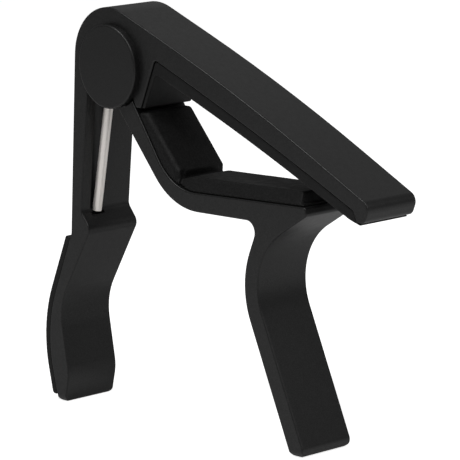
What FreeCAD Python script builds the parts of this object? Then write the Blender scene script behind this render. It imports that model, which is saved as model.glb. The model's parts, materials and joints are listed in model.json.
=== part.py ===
"""Spring-loaded trigger capo for a guitar, built as an assembly of separate pieces.

Frame: X runs along the bar, from the rear handle towards the tip. Z is up, with the
capo standing on the ends of its two handles at Z = 0. Y is across the width, and
Y = 0 is the middle plane. The outlines below are written about the pivot axis, as
(x, z) in millimetres, and every piece is moved into the part's frame when it is saved.
"""
import FreeCAD
import Part
import math
import os

V = FreeCAD.Vector

# --- overall -------------------------------------------------------------------------
WIDTH = 13.0                  # both castings across the front and back faces
EDGE = 0.3                    # rounding along the edges of both castings
FOOT_ROUND = 1.5              # corners of both handles' ends, seen along X
PIVOT_X = -23.13              # pivot axis in the part's frame
PIVOT_Z = 70.85

# --- pivot stack, measured across the width from the middle plane ---------------------
CHEEK_R = 8.2                 # rounded lower edge of the fork's cheeks
SHARP_R = 8.95                # inside this radius the castings' edges stay sharp
CHEEK_IN = 5.05               # inner face of a cheek
CAVITY_R = 8.4                # round hollow between the cheeks
EAR_R = 7.6                   # the jaw's two round ears
EAR_OUT = 4.70
EAR_IN = 3.45
ARM_START_R = 8.65            # the jaw arm is full width outside this radius
TONGUE_START_R = 5.4          # and reaches in to here between the cheeks
PIN_R = 2.25
PIN_HEAD_R = 4.0
PIN_HEAD_T = 0.7
PIN_END = 7.25
RING_GROOVE_R = 1.75
RING_R = 3.8
RING_T = 0.6
RING_GAP = 2.6
BUSH_R = 3.2
RUNNING_GAP = 0.05
SLEEVE_R = 2.8
SLEEVE_GAP = 0.01             # the sleeve sits firmly on the pin
WASHER_R = 6.8
CAP_R = 8.36
CAP_T = 1.4
CAP_HOLLOW_R = 4.6
CAP_HOLLOW_T = 0.8
CAP_RIM = 0.4

# --- torsion spring -------------------------------------------------------------------
WIRE_R = 0.95
COIL_R = 4.0                  # to the middle of the wire
COIL_PITCH = 1.95
BAR_LEG_ANGLE = 168.1         # where the rear handle's leg leaves the coil
BAR_LEG_LENGTH = 32.0
JAW_LEG_ANGLE = 2.0           # where the jaw's leg leaves the coil, two turns further on
JAW_LEG_LENGTH = 9.6
COIL_TURNS = 2 + (BAR_LEG_ANGLE - JAW_LEG_ANGLE) / 360.0
LEG_Y = COIL_PITCH * COIL_TURNS / 2
LEG_HOLE_R = 1.15
LEG_HOLE_END = 0.3            # the hole runs this far past the leg's end
LEG_GROOVE = (3.4, 0.75, -31.2)   # width, depth and lower end on the rear handle
LEG_GROOVE_CORNER = 0.5
LEG_GROOVE_OPEN = 3.0         # the cut runs this far out past the handle's face

# --- pads -----------------------------------------------------------------------------
PAD_EDGE = 0.25               # pads stand this far inside the castings' faces
PAD_ROUND = 1.2               # long edges of the neck pad on the sloping arm
PAD_CORNER = 0.3
STRING_PAD_T = 2.65
STRING_PAD_BOW = 620.0        # radius of the underside's gentle curve
BOSS_PAD_T = 1.0
BOSS_PAD_CORNER = 0.9

# --- outlines: each corner is (x, z, radius) ------------------------------------------
HEAD_R = 10.6
HEAD_CENTRE = (-0.6, 1.0)
HANDLE_SLOPE = 4.66           # lean of the rear handle's back, degrees
BAR_SLOPE = 21.9              # fall of the bar where it leaves the head, degrees

BAR_TOP = (36.0, -2.28, 480.0)
BAR_TIP = [(70.4, -20.07, 1.9), (68.8, -23.7, 1.4)]
BAR_LIP = [(66.1, -21.35, 0.0), (67.0, -23.4, 0.0)]
BAR_UNDER = (39.7, -8.7, 780.0)
STRING_PAD_BEND = (64.8, -23.2, 8.0)           # where the underside flattens near the tip
STRING_PAD_END = [67.75, (67.9, -24.12, 0.25)]   # x on the lip's underside, lower corner
BOSS_CORNER = (12.6, 2.2, 0.8)
BOSS_FOOT = (8.15, -7.65, 0.0)
BOSS_TOE = (6.85, -7.65, 0.6)
CHEEK_TO_BOSS = -44.5         # angles at which the cheeks' lower edge ends
CHEEK_TO_HANDLE = -155.5

HANDLE_INNER = [(-10.75, -30.4, 1.6), (-8.1, -33.8, 1.8), (-18.45, -50.7, 12.0),
                (-16.25, -65.0, 8.0)]
HANDLE_END = [(-17.75, -70.85, 0.9), (-19.9, -70.85, 1.3)]
HANDLE_OUTER = [(-23.15, -55.9, 27.0), (-14.1, -35.2, 1.5)]

JAW_OUTER = [(0.5, -6.98, 0.0), (16.5, -26.55, 15.2), (40.85, -26.45, 2.2),
             (35.1, -39.3, 17.0), (48.22, -70.85, 1.8), (52.38, -70.85, 1.6),
             (37.0, -33.9, 13.0), (54.0, -23.8, 0.7), (53.6, -22.2, 0.6)]
JAW_INNER = [(16.6, -22.9, 12.0), (4.6, -4.75, 0.0)]
TONGUE = [(-0.9, -5.1, 0.0), (2.6, -9.35, 0.0), (7.3, -8.8, 0.0), (5.83, -6.6, 0.0),
          (5.5, -5.2, 0.0), (5.2, -2.2, 0.0)]

NECK_PAD_FACE = [(9.55, -8.4, 0.4), (18.6, -19.1, 0.5), (18.4, -20.8, 0.3),
                 (21.2, -20.0, 1.2), (51.6, -19.6, 0.7), (52.3, -21.75, 0.0),
                 (52.9, -21.75, 0.0)]
NECK_PAD_LEAN = 30.0          # lean of the sides on the level part, degrees
NECK_PAD_FOOT = 0.2           # height of the upright strip below the leaning sides

GRIP_TOP = [(-16.1, -35.75, 0.5), -36.3]      # outer corner, and height on the metal
GRIP_BULGE = (-24.85, -55.4, 28.4)
GRIP_END = [(-21.85, -69.9, 0.9), -69.4]


def polar(radius, angle, centre=(0.0, 0.0)):
    """Point at an angle in degrees, measured from +X towards +Z."""
    turn = math.radians(angle)
    return (centre[0] + radius * math.cos(turn), centre[1] + radius * math.sin(turn))


def point(xz, y=0.0):
    return V(xz[0], y, xz[1])


def rounded_edges(corners, closed=True):
    """Edges through corners (x, z, radius), each corner replaced by a tangent arc."""
    count = len(corners)
    legs = []
    for i, corner in enumerate(corners):
        here = point(corner)
        if not corner[2] or (not closed and i in (0, count - 1)):
            legs.append((here, None, here))
            continue
        back = (point(corners[i - 1]) - here).normalize()
        ahead = (point(corners[(i + 1) % count]) - here).normalize()
        half = back.getAngle(ahead) / 2
        reach = corner[2] / math.tan(half)
        middle = (back + ahead).normalize() * (corner[2] / math.sin(half) - corner[2])
        legs.append((here + back * reach, here + middle, here + ahead * reach))
    edges = []
    for i, (start, middle, end) in enumerate(legs):
        if middle is not None:
            edges.append(Part.Arc(start, middle, end).toShape())
        if i + 1 < count or closed:
            following = legs[(i + 1) % count][0]
            if end.distanceToPoint(following) > 1e-6:
                edges.append(Part.LineSegment(end, following).toShape())
    return edges


def on_line(a, b, value, axis):
    """Sharp corner on the line through a and b, where x (axis 0) or z (axis 1) is value."""
    share = (value - a[axis]) / (b[axis] - a[axis])
    return (a[0] + (b[0] - a[0]) * share, a[1] + (b[1] - a[1]) * share, 0.0)


def arc_edge(radius, start, end, centre=(0.0, 0.0)):
    """Arc about a centre from one angle to another, in degrees."""
    points = [point(polar(radius, a, centre)) for a in (start, (start + end) / 2, end)]
    return Part.Arc(*points).toShape()


def slab(edges, low, high):
    """The closed outline made solid from Y = low to Y = high."""
    face = Part.Face(Part.Wire(Part.__sortEdges__(edges)))
    face.translate(V(0, low, 0))
    return face.extrude(V(0, high - low, 0))


def disc(radius, low, high, inner=0.0):
    """A round disc or ring about the pivot axis."""
    shape = Part.makeCylinder(radius, high - low, V(0, low, 0), V(0, 1, 0))
    if inner:
        shape = shape.cut(Part.makeCylinder(inner, high - low, V(0, low, 0), V(0, 1, 0)))
    return shape


def face_edges(shape, y, keep):
    """Edges that lie in the plane at Y = y, where keep(middle point) is true."""
    found = []
    for edge in shape.Edges:
        box = edge.BoundBox
        if abs(box.YMin - y) < 1e-4 and abs(box.YMax - y) < 1e-4:
            if keep(V((box.XMin + box.XMax) / 2, y, (box.ZMin + box.ZMax) / 2)):
                found.append(edge)
    return found


def soften(shape, half_width, radius, keep=lambda middle: True):
    """Round the front and back edges of a slab."""
    edges = face_edges(shape, -half_width, keep) + face_edges(shape, half_width, keep)
    return shape.makeFillet(radius, edges)


def wire_leg(angle, length, y):
    """Start, heading and end of a spring leg that leaves the coil and heads down."""
    start = point(polar(COIL_R, angle), y)
    heading = point((math.sin(math.radians(angle)), -math.cos(math.radians(angle))))
    if heading.z > 0:
        heading = heading * -1
    return start, heading, start + heading * length


def bar_outline():
    """Bar, head, boss and rear handle, as one closed outline."""
    head_bar = polar(HEAD_R, 90 - BAR_SLOPE, HEAD_CENTRE) + (0.0,)
    head_handle = polar(HEAD_R, 180 - HANDLE_SLOPE, HEAD_CENTRE) + (0.0,)
    cheek_boss = polar(CHEEK_R, CHEEK_TO_BOSS) + (0.0,)
    cheek_handle = polar(CHEEK_R, CHEEK_TO_HANDLE) + (0.0,)
    bar = [head_bar, BAR_TOP] + BAR_TIP + BAR_LIP[::-1]
    boss = [BAR_UNDER, BOSS_CORNER, BOSS_FOOT, BOSS_TOE, cheek_boss]
    handle = [cheek_handle] + HANDLE_INNER + HANDLE_END + HANDLE_OUTER + [head_handle]
    edges = rounded_edges(bar + boss, closed=False)
    edges += [arc_edge(CHEEK_R, CHEEK_TO_BOSS, CHEEK_TO_HANDLE)]
    edges += rounded_edges(handle, closed=False)
    edges += [arc_edge(HEAD_R, 180 - HANDLE_SLOPE, 90 - BAR_SLOPE, HEAD_CENTRE)]
    return edges


def bar_frame():
    """Bar, forked head and rear handle in one casting."""
    half = WIDTH / 2
    shape = slab(bar_outline(), -half, half)
    shape = soften(shape, half, EDGE, clear_of_pivot).common(rounded_at_foot())
    shape = shape.cut(disc(CAVITY_R, -CHEEK_IN, CHEEK_IN))
    shape = shape.cut(disc(PIN_R, -WIDTH, WIDTH))
    return shape.cut(leg_groove())


def rounded_at_foot():
    """Block as wide as the castings, with rounded corners where the handles end."""
    size = 4 * PIVOT_Z
    low = V(-size / 2, -WIDTH / 2, -PIVOT_Z)
    block = Part.makeBox(size, WIDTH, size, low)
    feet = [e for e in block.Edges
            if e.BoundBox.XLength > size / 2 and e.BoundBox.ZMax < 0]
    return block.makeFillet(FOOT_ROUND, feet)


def clear_of_pivot(middle):
    """True for edges away from the cheeks' lower edge and the hidden end of the arm."""
    return math.hypot(middle.x, middle.z) > SHARP_R or middle.z > 0


def leg_groove():
    """Shallow groove down the rear handle's inner face, for the spring's leg."""
    width, depth, low = LEG_GROOVE
    top = point(polar(CHEEK_R, CHEEK_TO_HANDLE))
    run = (point(HANDLE_INNER[0]) - top).normalize()
    inward = V(run.z, 0, -run.x)
    foot = top + run * ((low - top.z) / run.z)
    above = top - run * LEG_GROOVE_OPEN
    outward = inward * LEG_GROOVE_OPEN
    corners = [above - outward, above + inward * depth, foot + inward * depth, foot - outward]
    outline = [(c.x, c.z, r) for c, r in zip(corners, (0, 0, LEG_GROOVE_CORNER, 0))]
    return slab(rounded_edges(outline), -LEG_Y - width / 2, -LEG_Y + width / 2)


def jaw_frame():
    """Jaw arm, jaw and trigger handle in one casting, with two ears on the pivot."""
    half = WIDTH / 2
    shape = slab(rounded_edges(JAW_OUTER + JAW_INNER), -half, half)
    shape = soften(shape, half, EDGE, clear_of_pivot).common(rounded_at_foot())
    shape = shape.cut(disc(ARM_START_R, -WIDTH, WIDTH))
    tongue = slab(rounded_edges(TONGUE), -EAR_OUT, EAR_OUT)
    shape = shape.fuse(tongue.cut(disc(TONGUE_START_R, -WIDTH, WIDTH)))
    for low, high in ((-EAR_OUT, -EAR_IN), (EAR_IN, EAR_OUT)):
        shape = shape.fuse(disc(EAR_R, low, high))
    shape = shape.cut(disc(BUSH_R, -WIDTH, WIDTH))
    start, heading, _ = wire_leg(JAW_LEG_ANGLE, JAW_LEG_LENGTH, LEG_Y)
    hole = Part.makeCylinder(LEG_HOLE_R, JAW_LEG_LENGTH + LEG_HOLE_END, start, heading)
    return shape.cut(hole.common(disc(2 * CAP_R, -EAR_IN, EAR_IN)))


def string_pad():
    """Rubber pad under the bar that presses on the strings and wraps the boss."""
    boss_line = (point(BOSS_CORNER) - point(BOSS_FOOT)).normalize()
    across = V(boss_line.z, 0, -boss_line.x) * BOSS_PAD_T
    under = (point(BAR_LIP[0]) - point(BOSS_CORNER)).normalize()
    down = V(under.z, 0, -under.x) * STRING_PAD_T
    foot = point(BOSS_FOOT) + across
    inner = point(BOSS_CORNER) + across + down
    middle = point(BAR_UNDER) + down
    lip_end = on_line(BAR_LIP[1], BAR_TIP[1], STRING_PAD_END[0], 0)
    outline = [BOSS_FOOT, (foot.x, BOSS_FOOT[1], PAD_CORNER),
               (inner.x, inner.z, BOSS_PAD_CORNER),
               (middle.x, middle.z, STRING_PAD_BOW), STRING_PAD_BEND, STRING_PAD_END[1],
               lip_end, BAR_LIP[1], BAR_LIP[0], BAR_UNDER, BOSS_CORNER]
    half = WIDTH / 2 - PAD_EDGE
    return slab(rounded_edges(outline), -half, half)


def neck_pad():
    """Foam pad on the jaw that rests against the back of the neck."""
    bend, arm = JAW_INNER
    end = on_line(bend, JAW_OUTER[-1], NECK_PAD_FACE[-1][0], 0)
    top = on_line(bend, arm, NECK_PAD_FACE[0][1], 1)
    outline = NECK_PAD_FACE + [end, bend, top]
    half = WIDTH / 2 - PAD_EDGE
    shape = slab(rounded_edges(outline), -half, half)
    shape = soften(shape, half, PAD_ROUND, on_neck_slope)
    return shape.cut([beside_neck_pad(-1), beside_neck_pad(1)])


def on_neck_slope(middle):
    """True on the pad's long face over the sloping arm."""
    centre = (point(NECK_PAD_FACE[0]) + point(NECK_PAD_FACE[1])) / 2
    return math.hypot(middle.x - centre.x, middle.z - centre.z) < PAD_ROUND


def beside_neck_pad(side):
    """What the leaning side takes off the level part; side is -1 at the front."""
    crease = NECK_PAD_FACE[2]
    start = on_line(JAW_INNER[0], JAW_OUTER[-1], crease[0], 0)
    run = point(JAW_OUTER[-1]) - point(JAW_INNER[0])
    foot = start[1] + NECK_PAD_FOOT
    rise = WIDTH / 2
    half = WIDTH / 2 - PAD_EDGE
    lean = rise * math.tan(math.radians(NECK_PAD_LEAN))
    section = [(half, foot), (half - lean, foot + rise), (WIDTH, foot + rise), (WIDTH, foot)]
    corners = [V(crease[0], side * y, z) for y, z in section]
    return Part.Face(Part.makePolygon(corners + corners[:1])).extrude(run)


def handle_grip():
    """Rubber grip along the back of the rear handle."""
    bulge, bend = HANDLE_OUTER
    top = on_line(bulge, bend, GRIP_TOP[1], 1)
    end = on_line(bulge, HANDLE_END[1], GRIP_END[1], 1)
    outline = [top, bulge, end, GRIP_END[0], GRIP_BULGE, GRIP_TOP[0]]
    half = WIDTH / 2 - PAD_EDGE
    return slab(rounded_edges(outline), -half, half)


def torsion_spring():
    """Round wire spring: a straight leg, two and a half turns, and a second leg."""
    bar_start, bar_heading, _ = wire_leg(BAR_LEG_ANGLE, BAR_LEG_LENGTH, -LEG_Y)
    jaw_start, jaw_heading, _ = wire_leg(JAW_LEG_ANGLE, JAW_LEG_LENGTH, LEG_Y)
    helix = Part.makeHelix(COIL_PITCH, COIL_PITCH * COIL_TURNS, COIL_R)
    outward = point(polar(1.0, BAR_LEG_ANGLE))
    onward = point(polar(1.0, BAR_LEG_ANGLE - 90.0))
    turn = FreeCAD.Rotation(outward, onward, V(0, 1, 0), "XYZ")
    helix.Placement = FreeCAD.Placement(V(0, -LEG_Y, 0), turn)
    tangent = helix.Edges[0].tangentAt(helix.Edges[0].FirstParameter)
    section = Part.Wire(Part.makeCircle(WIRE_R, bar_start, tangent))
    coil = Part.Wire(helix.Edges).makePipeShell([section], True, True)
    legs = [Part.makeCylinder(WIRE_R, BAR_LEG_LENGTH, bar_start, bar_heading),
            Part.makeCylinder(WIRE_R, JAW_LEG_LENGTH, jaw_start, jaw_heading)]
    bends = [Part.makeSphere(WIRE_R, bar_start), Part.makeSphere(WIRE_R, jaw_start)]
    return coil.fuse(legs + bends)


def pivot_pin():
    """Steel pin with a flat head at the front and a ring groove at the back."""
    half = WIDTH / 2
    shape = disc(PIN_R, -half, PIN_END).fuse(disc(PIN_HEAD_R, -half - PIN_HEAD_T, -half))
    low = half + RUNNING_GAP
    groove = disc(PIN_HEAD_R, low, low + RING_T, RING_GROOVE_R)
    return shape.cut(groove).removeSplitter()


def retaining_ring():
    """Open spring ring that holds the pin behind the back cheek."""
    low = WIDTH / 2 + RUNNING_GAP
    shape = disc(RING_R, low, low + RING_T, RING_GROOVE_R)
    gap = Part.makeBox(RING_R, RING_T, RING_GAP, V(0, low, -RING_GAP / 2))
    return shape.cut(gap)


def pivot_cap(side):
    """Round cover over the pin's end; side is -1 at the front and 1 at the back."""
    half = WIDTH / 2
    low, high = sorted((side * half, side * (half + CAP_T)))
    shape = disc(CAP_R, low, high)
    rim = face_edges(shape, side * (half + CAP_T), lambda middle: True)
    shape = shape.makeFillet(CAP_RIM, rim)
    low, high = sorted((side * half, side * (half + CAP_HOLLOW_T)))
    return shape.cut(disc(CAP_HOLLOW_R, low, high))


def washer(side):
    low, high = sorted((side * CHEEK_IN, side * (EAR_OUT + RUNNING_GAP)))
    return disc(WASHER_R, low, high, PIN_R + RUNNING_GAP)


def bush(side):
    low, high = sorted((side * EAR_IN, side * EAR_OUT))
    return disc(BUSH_R, low, high, PIN_R + RUNNING_GAP)


def spring_sleeve():
    return disc(SLEEVE_R, -EAR_IN + RUNNING_GAP, EAR_IN - RUNNING_GAP, PIN_R + SLEEVE_GAP)


def save(name, shape):
    """Move a piece from the pivot to the part's frame and write it out."""
    placed = shape.copy()
    placed.translate(V(PIVOT_X, 0, PIVOT_Z))
    box = placed.BoundBox
    print("%-16s valid %s  volume %8.1f mm3  X %.2f..%.2f  Y %.2f..%.2f  Z %.2f..%.2f" % (
        name, placed.isValid(), placed.Volume, box.XMin, box.XMax, box.YMin, box.YMax,
        box.ZMin, box.ZMax))
    placed.exportStep("parts/%s.step" % name)


os.makedirs("parts", exist_ok=True)
save("bar_frame", bar_frame())
save("jaw_frame", jaw_frame())
save("string_pad", string_pad())
save("neck_pad", neck_pad())
save("torsion_spring", torsion_spring())
save("handle_grip", handle_grip())
save("pivot_pin", pivot_pin())
save("retaining_ring", retaining_ring())
save("front_cap", pivot_cap(-1))
save("back_cap", pivot_cap(1))
save("front_washer", washer(-1))
save("back_washer", washer(1))
save("front_bush", bush(-1))
save("back_bush", bush(1))
save("spring_sleeve", spring_sleeve())
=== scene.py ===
"""Looks of the guitar capo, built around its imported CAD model.

The castings, the caps and the pivot's small pieces keep their CAD shapes and get detailed
materials. The three pads and the spring are replaced by detailed pieces of their own.
Lengths are in metres. X runs along the bar, Y across the width and Z is up.
"""
import json
import math

import bpy
import numpy as np
from mathutils import Matrix, Vector
from mathutils.bvhtree import BVHTree


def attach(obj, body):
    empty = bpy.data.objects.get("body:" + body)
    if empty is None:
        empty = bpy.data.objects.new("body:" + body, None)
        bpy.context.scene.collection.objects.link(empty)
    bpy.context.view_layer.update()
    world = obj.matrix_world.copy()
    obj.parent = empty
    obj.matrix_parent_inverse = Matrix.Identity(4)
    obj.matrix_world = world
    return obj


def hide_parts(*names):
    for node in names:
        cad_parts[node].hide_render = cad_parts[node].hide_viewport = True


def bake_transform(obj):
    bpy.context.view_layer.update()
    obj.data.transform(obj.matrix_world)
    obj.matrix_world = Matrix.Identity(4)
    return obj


MM = 0.001

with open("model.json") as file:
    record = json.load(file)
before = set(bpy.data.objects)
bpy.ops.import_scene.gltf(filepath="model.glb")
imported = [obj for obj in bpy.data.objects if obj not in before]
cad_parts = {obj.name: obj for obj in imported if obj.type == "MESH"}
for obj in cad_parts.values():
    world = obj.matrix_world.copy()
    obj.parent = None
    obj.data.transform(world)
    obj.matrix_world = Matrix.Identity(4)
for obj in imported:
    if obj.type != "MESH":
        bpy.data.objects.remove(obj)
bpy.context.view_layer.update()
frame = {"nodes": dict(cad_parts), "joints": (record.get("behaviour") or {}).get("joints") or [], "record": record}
NODES = frame["nodes"]
PIVOT = Vector(frame["joints"][0]["pos_m"])
SLOT_OF = {part["node"]: part["material_slot"] for part in frame["record"]["subparts"]}

# --- camera --------------------------------------------------------------------------
AZIMUTH = 47.014              # degrees, 0 looks along +Y
ELEVATION = 10.583
ROLL = -1.396
CAMERA_FROM_PIVOT = Vector((470.992, -414.691, 83.015)) * MM
SENSOR = 36.0                 # millimetres
LENS = 249.6
NEAREST_SEEN = 10 * MM

# --- light ---------------------------------------------------------------------------
ROOM = 0.16                   # how bright the room is to the object; seen directly it is white
FLOOR_GLOW = 0.80             # what the floor adds where it is seen directly
FLOOR_HALF = 3.0
FLOOR_DROP = 0.02 * MM        # keeps the floor from touching the handles
FLOOR_GREY = 0.85
SOFTBOXES = [                 # direction from the capo, distance, side of the square, watts
    ("overhead", (-0.20, -0.46, 0.86), 0.60, 0.16, 1.2),
    ("behind", (-0.35, 0.70, 0.62), 0.70, 0.50, 0.14),
    ("right", (0.80, 0.22, 0.56), 0.60, 0.25, 0.75),
    ("fill", (0.40, -0.45, 0.80), 0.60, 0.30, 1.1),
]

# --- pads ----------------------------------------------------------------------------
VOXEL = 0.17 * MM
SEAM = 0.16 * MM              # how far up a pad's foot the seam reaches
SEAM_DEPTH = 0.35 * MM        # how far the foot draws in from the sides
CROWN = 0.05 * MM             # how far the middle stands proud of the edges
SKIN_SKEW = 900               # turns the skin's waves off the axes, radians per metre


# --- materials -----------------------------------------------------------------------
NOISE_RANGE = (0.3, 0.7)      # where nearly all of a noise pattern's values lie


class Shader:
    """A Principled material whose patterns are measured in millimetres on the piece."""

    def __init__(self, name, **sockets):
        self.material = bpy.data.materials.new(name)
        self.material.use_nodes = True
        self.nodes = self.material.node_tree.nodes
        self.links = self.material.node_tree.links
        self.bsdf = self.nodes["Principled BSDF"]
        for socket, value in sockets.items():
            self.bsdf.inputs[socket.replace("_", " ")].default_value = value
        self.coordinates = self.nodes.new("ShaderNodeTexCoord").outputs["Object"]

    def noise(self, size_mm, detail=3.0, stretch=(1, 1, 1)):
        """Noise whose features are about size_mm across."""
        place = self.nodes.new("ShaderNodeMapping")
        place.inputs["Scale"].default_value = stretch
        noise = self.nodes.new("ShaderNodeTexNoise")
        noise.inputs["Scale"].default_value = 1 / (size_mm * MM)
        noise.inputs["Detail"].default_value = detail
        self.links.new(self.coordinates, place.inputs["Vector"])
        self.links.new(place.outputs["Vector"], noise.inputs["Vector"])
        return noise.outputs["Fac"]

    def ramp(self, value, low, high, colors):
        """Two colours across a part of a pattern's range."""
        ramp = self.nodes.new("ShaderNodeValToRGB")
        ends = ramp.color_ramp.elements
        for end, position, color in zip(ends, (low, high), colors):
            end.position = position
            end.color = (*color, 1.0)
        self.links.new(value, ramp.inputs["Fac"])
        return ramp.outputs["Color"]

    def spread(self, value, low, high):
        """The pattern rescaled to run from low to high."""
        rescale = self.nodes.new("ShaderNodeMapRange")
        rescale.inputs["From Min"].default_value = NOISE_RANGE[0]
        rescale.inputs["From Max"].default_value = NOISE_RANGE[1]
        rescale.inputs["To Min"].default_value = low
        rescale.inputs["To Max"].default_value = high
        self.links.new(value, rescale.inputs["Value"])
        return rescale.outputs["Result"]

    def drive(self, socket, value):
        self.links.new(value, self.bsdf.inputs[socket])

    def bump(self, value, height_mm, strength):
        bump = self.nodes.new("ShaderNodeBump")
        bump.inputs["Distance"].default_value = height_mm * MM
        bump.inputs["Strength"].default_value = strength
        self.links.new(value, bump.inputs["Height"])
        self.links.new(bump.outputs["Normal"], self.bsdf.inputs["Normal"])


def grey(value, warmth=0.0):
    return (value * (1 + warmth), value, value * (1 - warmth))


def black_casting():
    """Satin black anodised casting: a fine blasted speckle under a thin dark film."""
    shader = Shader("black_casting", IOR=1.41)
    speckle = shader.noise(0.22, detail=2.0)
    shader.drive("Base Color", shader.ramp(speckle, 0.36, 0.70, (grey(0.003), grey(0.013))))
    shader.drive("Roughness", shader.spread(shader.noise(1.1), 0.37, 0.42))
    shader.bump(speckle, 0.016, 0.45)
    return shader.material


def black_rubber():
    """Moulded silicone rubber: matt, very even, with a fine skin."""
    shader = Shader("black_rubber", IOR=1.35)
    skin = shader.noise(0.35)
    shader.drive("Base Color", shader.ramp(skin, 0.35, 0.70, (grey(0.001), grey(0.005))))
    shader.drive("Roughness", shader.spread(shader.noise(3.0), 0.52, 0.62))
    shader.bump(skin, 0.02, 0.4)
    return shader.material


def black_foam():
    """Closed-cell rubber with a grainy, slightly dusty skin."""
    shader = Shader("black_foam", IOR=1.31, Sheen_Weight=0.03, Sheen_Roughness=0.35)
    grain = shader.noise(0.30, detail=4.0)
    shader.drive("Base Color", shader.ramp(grain, 0.42, 0.68, (grey(0.001), grey(0.008))))
    shader.drive("Roughness", shader.spread(shader.noise(1.5), 0.56, 0.70))
    shader.bump(grain, 0.03, 0.5)
    return shader.material


def spring_wire():
    """Bright plated wire, satin, with faint drawing lines along its length."""
    shader = Shader("spring_wire", Metallic=0.5)
    lines = shader.noise(0.12, stretch=(1, 1, 0.06))
    shader.drive("Base Color", shader.ramp(
        lines, 0.30, 0.75, (grey(0.90, 0.05), grey(0.95, 0.05))))
    shader.drive("Roughness", shader.spread(lines, 0.34, 0.46))
    shader.bump(lines, 0.003, 0.25)
    return shader.material


def pivot_steel():
    """Turned steel with fine marks round the pivot axis."""
    shader = Shader("pivot_steel", Metallic=1.0)
    marks = shader.noise(0.10, stretch=(0.15, 1, 0.15))
    shader.drive("Base Color", shader.ramp(marks, 0.30, 0.75, (grey(0.42), grey(0.56))))
    shader.drive("Roughness", shader.spread(marks, 0.26, 0.38))
    shader.bump(marks, 0.004, 0.3)
    return shader.material


def white_nylon():
    """Natural nylon, slightly cloudy."""
    shader = Shader("white_nylon", IOR=1.53)
    cloud = shader.noise(1.8)
    shader.drive("Base Color", shader.ramp(
        cloud, 0.3, 0.7, (grey(0.70, 0.03), grey(0.80, 0.03))))
    shader.drive("Roughness", shader.spread(cloud, 0.42, 0.52))
    shader.bump(shader.noise(0.3), 0.01, 0.2)
    return shader.material


MATERIALS = {make.__name__: make() for make in (
    black_casting, black_rubber, black_foam, spring_wire, pivot_steel, white_nylon)}


def finish_with(obj, slot):
    obj.data.materials.clear()
    obj.data.materials.append(MATERIALS[slot])


# --- pieces --------------------------------------------------------------------------
def vertices(obj):
    found = np.empty(len(obj.data.vertices) * 3)
    obj.data.vertices.foreach_get("co", found)
    return found.reshape(-1, 3)


def normals(obj):
    found = np.empty(len(obj.data.vertices) * 3)
    obj.data.vertices.foreach_get("normal", found)
    return found.reshape(-1, 3)


def move_vertices(obj, places):
    obj.data.vertices.foreach_set("co", places.ravel())
    obj.data.update()


def copy_of(node, name):
    """A piece of its own with the CAD node's shape."""
    obj = bpy.data.objects.new(name, NODES[node].data.copy())
    bpy.context.scene.collection.objects.link(obj)
    return obj


def with_modifier(obj, kind, **settings):
    """Add one modifier and make its result the piece's mesh."""
    modifier = obj.modifiers.new(kind, kind)
    for setting, value in settings.items():
        setattr(modifier, setting, value)
    bpy.context.view_layer.update()
    shape = bpy.data.meshes.new_from_object(
        obj.evaluated_get(bpy.context.evaluated_depsgraph_get()))
    obj.modifiers.clear()
    obj.data = shape


def height_over(obj, node):
    """Distance of each vertex from the casting that the pad is bonded to."""
    casting = NODES[node].data
    tree = BVHTree.FromPolygons(
        [v.co for v in casting.vertices], [p.vertices for p in casting.polygons])
    return np.array([tree.find_nearest(Vector(place))[3] for place in vertices(obj)])


def moulded_pad(node, name, casting, body, taper, grain, grain_size):
    """A pad with moulded edges, a seam at its foot and an uneven skin.

    taper is how far each side leans in for each unit of height, grain is the height of the
    skin's unevenness and grain_size is the length of its waves.
    """
    obj = copy_of(node, name)
    with_modifier(obj, "REMESH", mode="VOXEL", voxel_size=VOXEL, use_smooth_shade=True)
    with_modifier(obj, "SMOOTH", factor=0.5, iterations=2)
    places = vertices(obj)
    height = height_over(obj, casting)
    half = np.abs(places[:, 1]).max()
    places[:, 1] *= 1 - (taper * height + SEAM_DEPTH * np.exp(-(height / SEAM) ** 2)) / half
    share = np.clip(height / height.max(), 0, 1)
    swell = CROWN * share * (1 - (places[:, 1] / half) ** 2)
    wave = np.sin(places / grain_size * 2 * math.pi + places[:, ::-1] * SKIN_SKEW)
    uneven = grain * share * wave.prod(axis=1)
    move_vertices(obj, places + normals(obj) * (swell + uneven)[:, None])
    finish_with(obj, SLOT_OF[node])
    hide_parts(node)
    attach(obj, body)


def wound_spring():
    """The spring as a smooth-shaded copy of the CAD spring, fixed in place."""
    obj = copy_of("torsion_spring", "wound_spring")
    for face in obj.data.polygons:
        face.use_smooth = True
    finish_with(obj, "spring_wire")
    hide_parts("torsion_spring")
    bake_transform(obj)


for node, obj in NODES.items():
    finish_with(obj, SLOT_OF[node])

moulded_pad("string_pad", "moulded_string_pad", "bar_frame", "bar",
            taper=0.03, grain=0.010 * MM, grain_size=1.1 * MM)
moulded_pad("neck_pad", "moulded_neck_pad", "jaw_frame", "jaw",
            taper=0.0, grain=0.020 * MM, grain_size=0.9 * MM)
moulded_pad("handle_grip", "moulded_handle_grip", "bar_frame", "bar",
            taper=0.02, grain=0.010 * MM, grain_size=1.1 * MM)
wound_spring()


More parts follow.
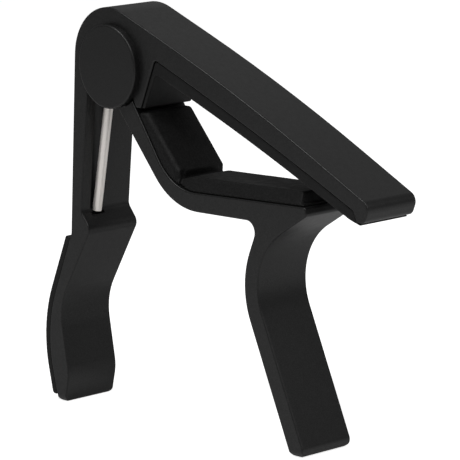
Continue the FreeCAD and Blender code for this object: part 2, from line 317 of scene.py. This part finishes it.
# --- stage, light and camera ---------------------------------------------------------
def floor():
    """A pale surface that the two handles stand on."""
    half = FLOOR_HALF
    mesh = bpy.data.meshes.new("floor")
    corners = [(-half, -half, 0), (half, -half, 0), (half, half, 0), (-half, half, 0)]
    mesh.from_pydata(corners, [], [(0, 1, 2, 3)])
    obj = bpy.data.objects.new("floor", mesh)
    bpy.context.scene.collection.objects.link(obj)
    obj.location.z = -FLOOR_DROP
    pale = Shader("pale_floor", Roughness=0.9)
    pale.bsdf.inputs["Base Color"].default_value = (*grey(FLOOR_GREY), 1)
    pale.bsdf.inputs["Emission Color"].default_value = (1, 1, 1, 1)
    seen = pale.nodes.new("ShaderNodeMath")
    seen.operation = "MULTIPLY"
    seen.inputs[1].default_value = FLOOR_GLOW
    path = pale.nodes.new("ShaderNodeLightPath")
    pale.links.new(path.outputs["Is Camera Ray"], seen.inputs[0])
    pale.drive("Emission Strength", seen.outputs["Value"])
    mesh.materials.append(pale.material)


def surroundings():
    """A pale room, which is white where it is seen directly."""
    world = bpy.data.worlds.new("studio")
    bpy.context.scene.world = world
    world.use_nodes = True
    nodes, links = world.node_tree.nodes, world.node_tree.links
    room = nodes["Background"]
    room.inputs["Color"].default_value = (1, 1, 1, 1)
    room.inputs["Strength"].default_value = ROOM
    seen = nodes.new("ShaderNodeBackground")
    seen.inputs["Color"].default_value = (1, 1, 1, 1)
    mix = nodes.new("ShaderNodeMixShader")
    path = nodes.new("ShaderNodeLightPath")
    links.new(path.outputs["Is Camera Ray"], mix.inputs["Fac"])
    links.new(room.outputs["Background"], mix.inputs[1])
    links.new(seen.outputs["Background"], mix.inputs[2])
    links.new(mix.outputs["Shader"], nodes["World Output"].inputs["Surface"])


def softbox(name, direction, distance, size, watts):
    """A square soft light that faces the middle of the capo."""
    light = bpy.data.lights.new(name, "AREA")
    light.size = size
    light.energy = watts
    obj = bpy.data.objects.new(name, light)
    bpy.context.scene.collection.objects.link(obj)
    towards = Vector(direction).normalized()
    obj.location = Vector((0, 0, PIVOT.z / 2)) + towards * distance
    obj.rotation_euler = towards.to_track_quat("Z", "Y").to_euler()


def camera():
    turn, lift, roll = (math.radians(a) for a in (AZIMUTH, ELEVATION, ROLL))
    back = Vector((math.cos(lift) * math.sin(turn), -math.cos(lift) * math.cos(turn),
                   math.sin(lift)))
    level = Vector((math.cos(turn), math.sin(turn), 0))
    right = level * math.cos(roll) + back.cross(level) * math.sin(roll)
    up = back.cross(right)
    data = bpy.data.cameras.new("camera")
    data.lens = LENS
    data.sensor_width = SENSOR
    data.clip_start = NEAREST_SEEN
    obj = bpy.data.objects.new("camera", data)
    bpy.context.scene.collection.objects.link(obj)
    obj.matrix_world = (Matrix.Translation(PIVOT + CAMERA_FROM_PIVOT)
                        @ Matrix((right, up, back)).transposed().to_4x4())
    bpy.context.scene.camera = obj


floor()
surroundings()
for box in SOFTBOXES:
    softbox(*box)
camera()
bpy.context.scene.view_settings.view_transform = "Standard"
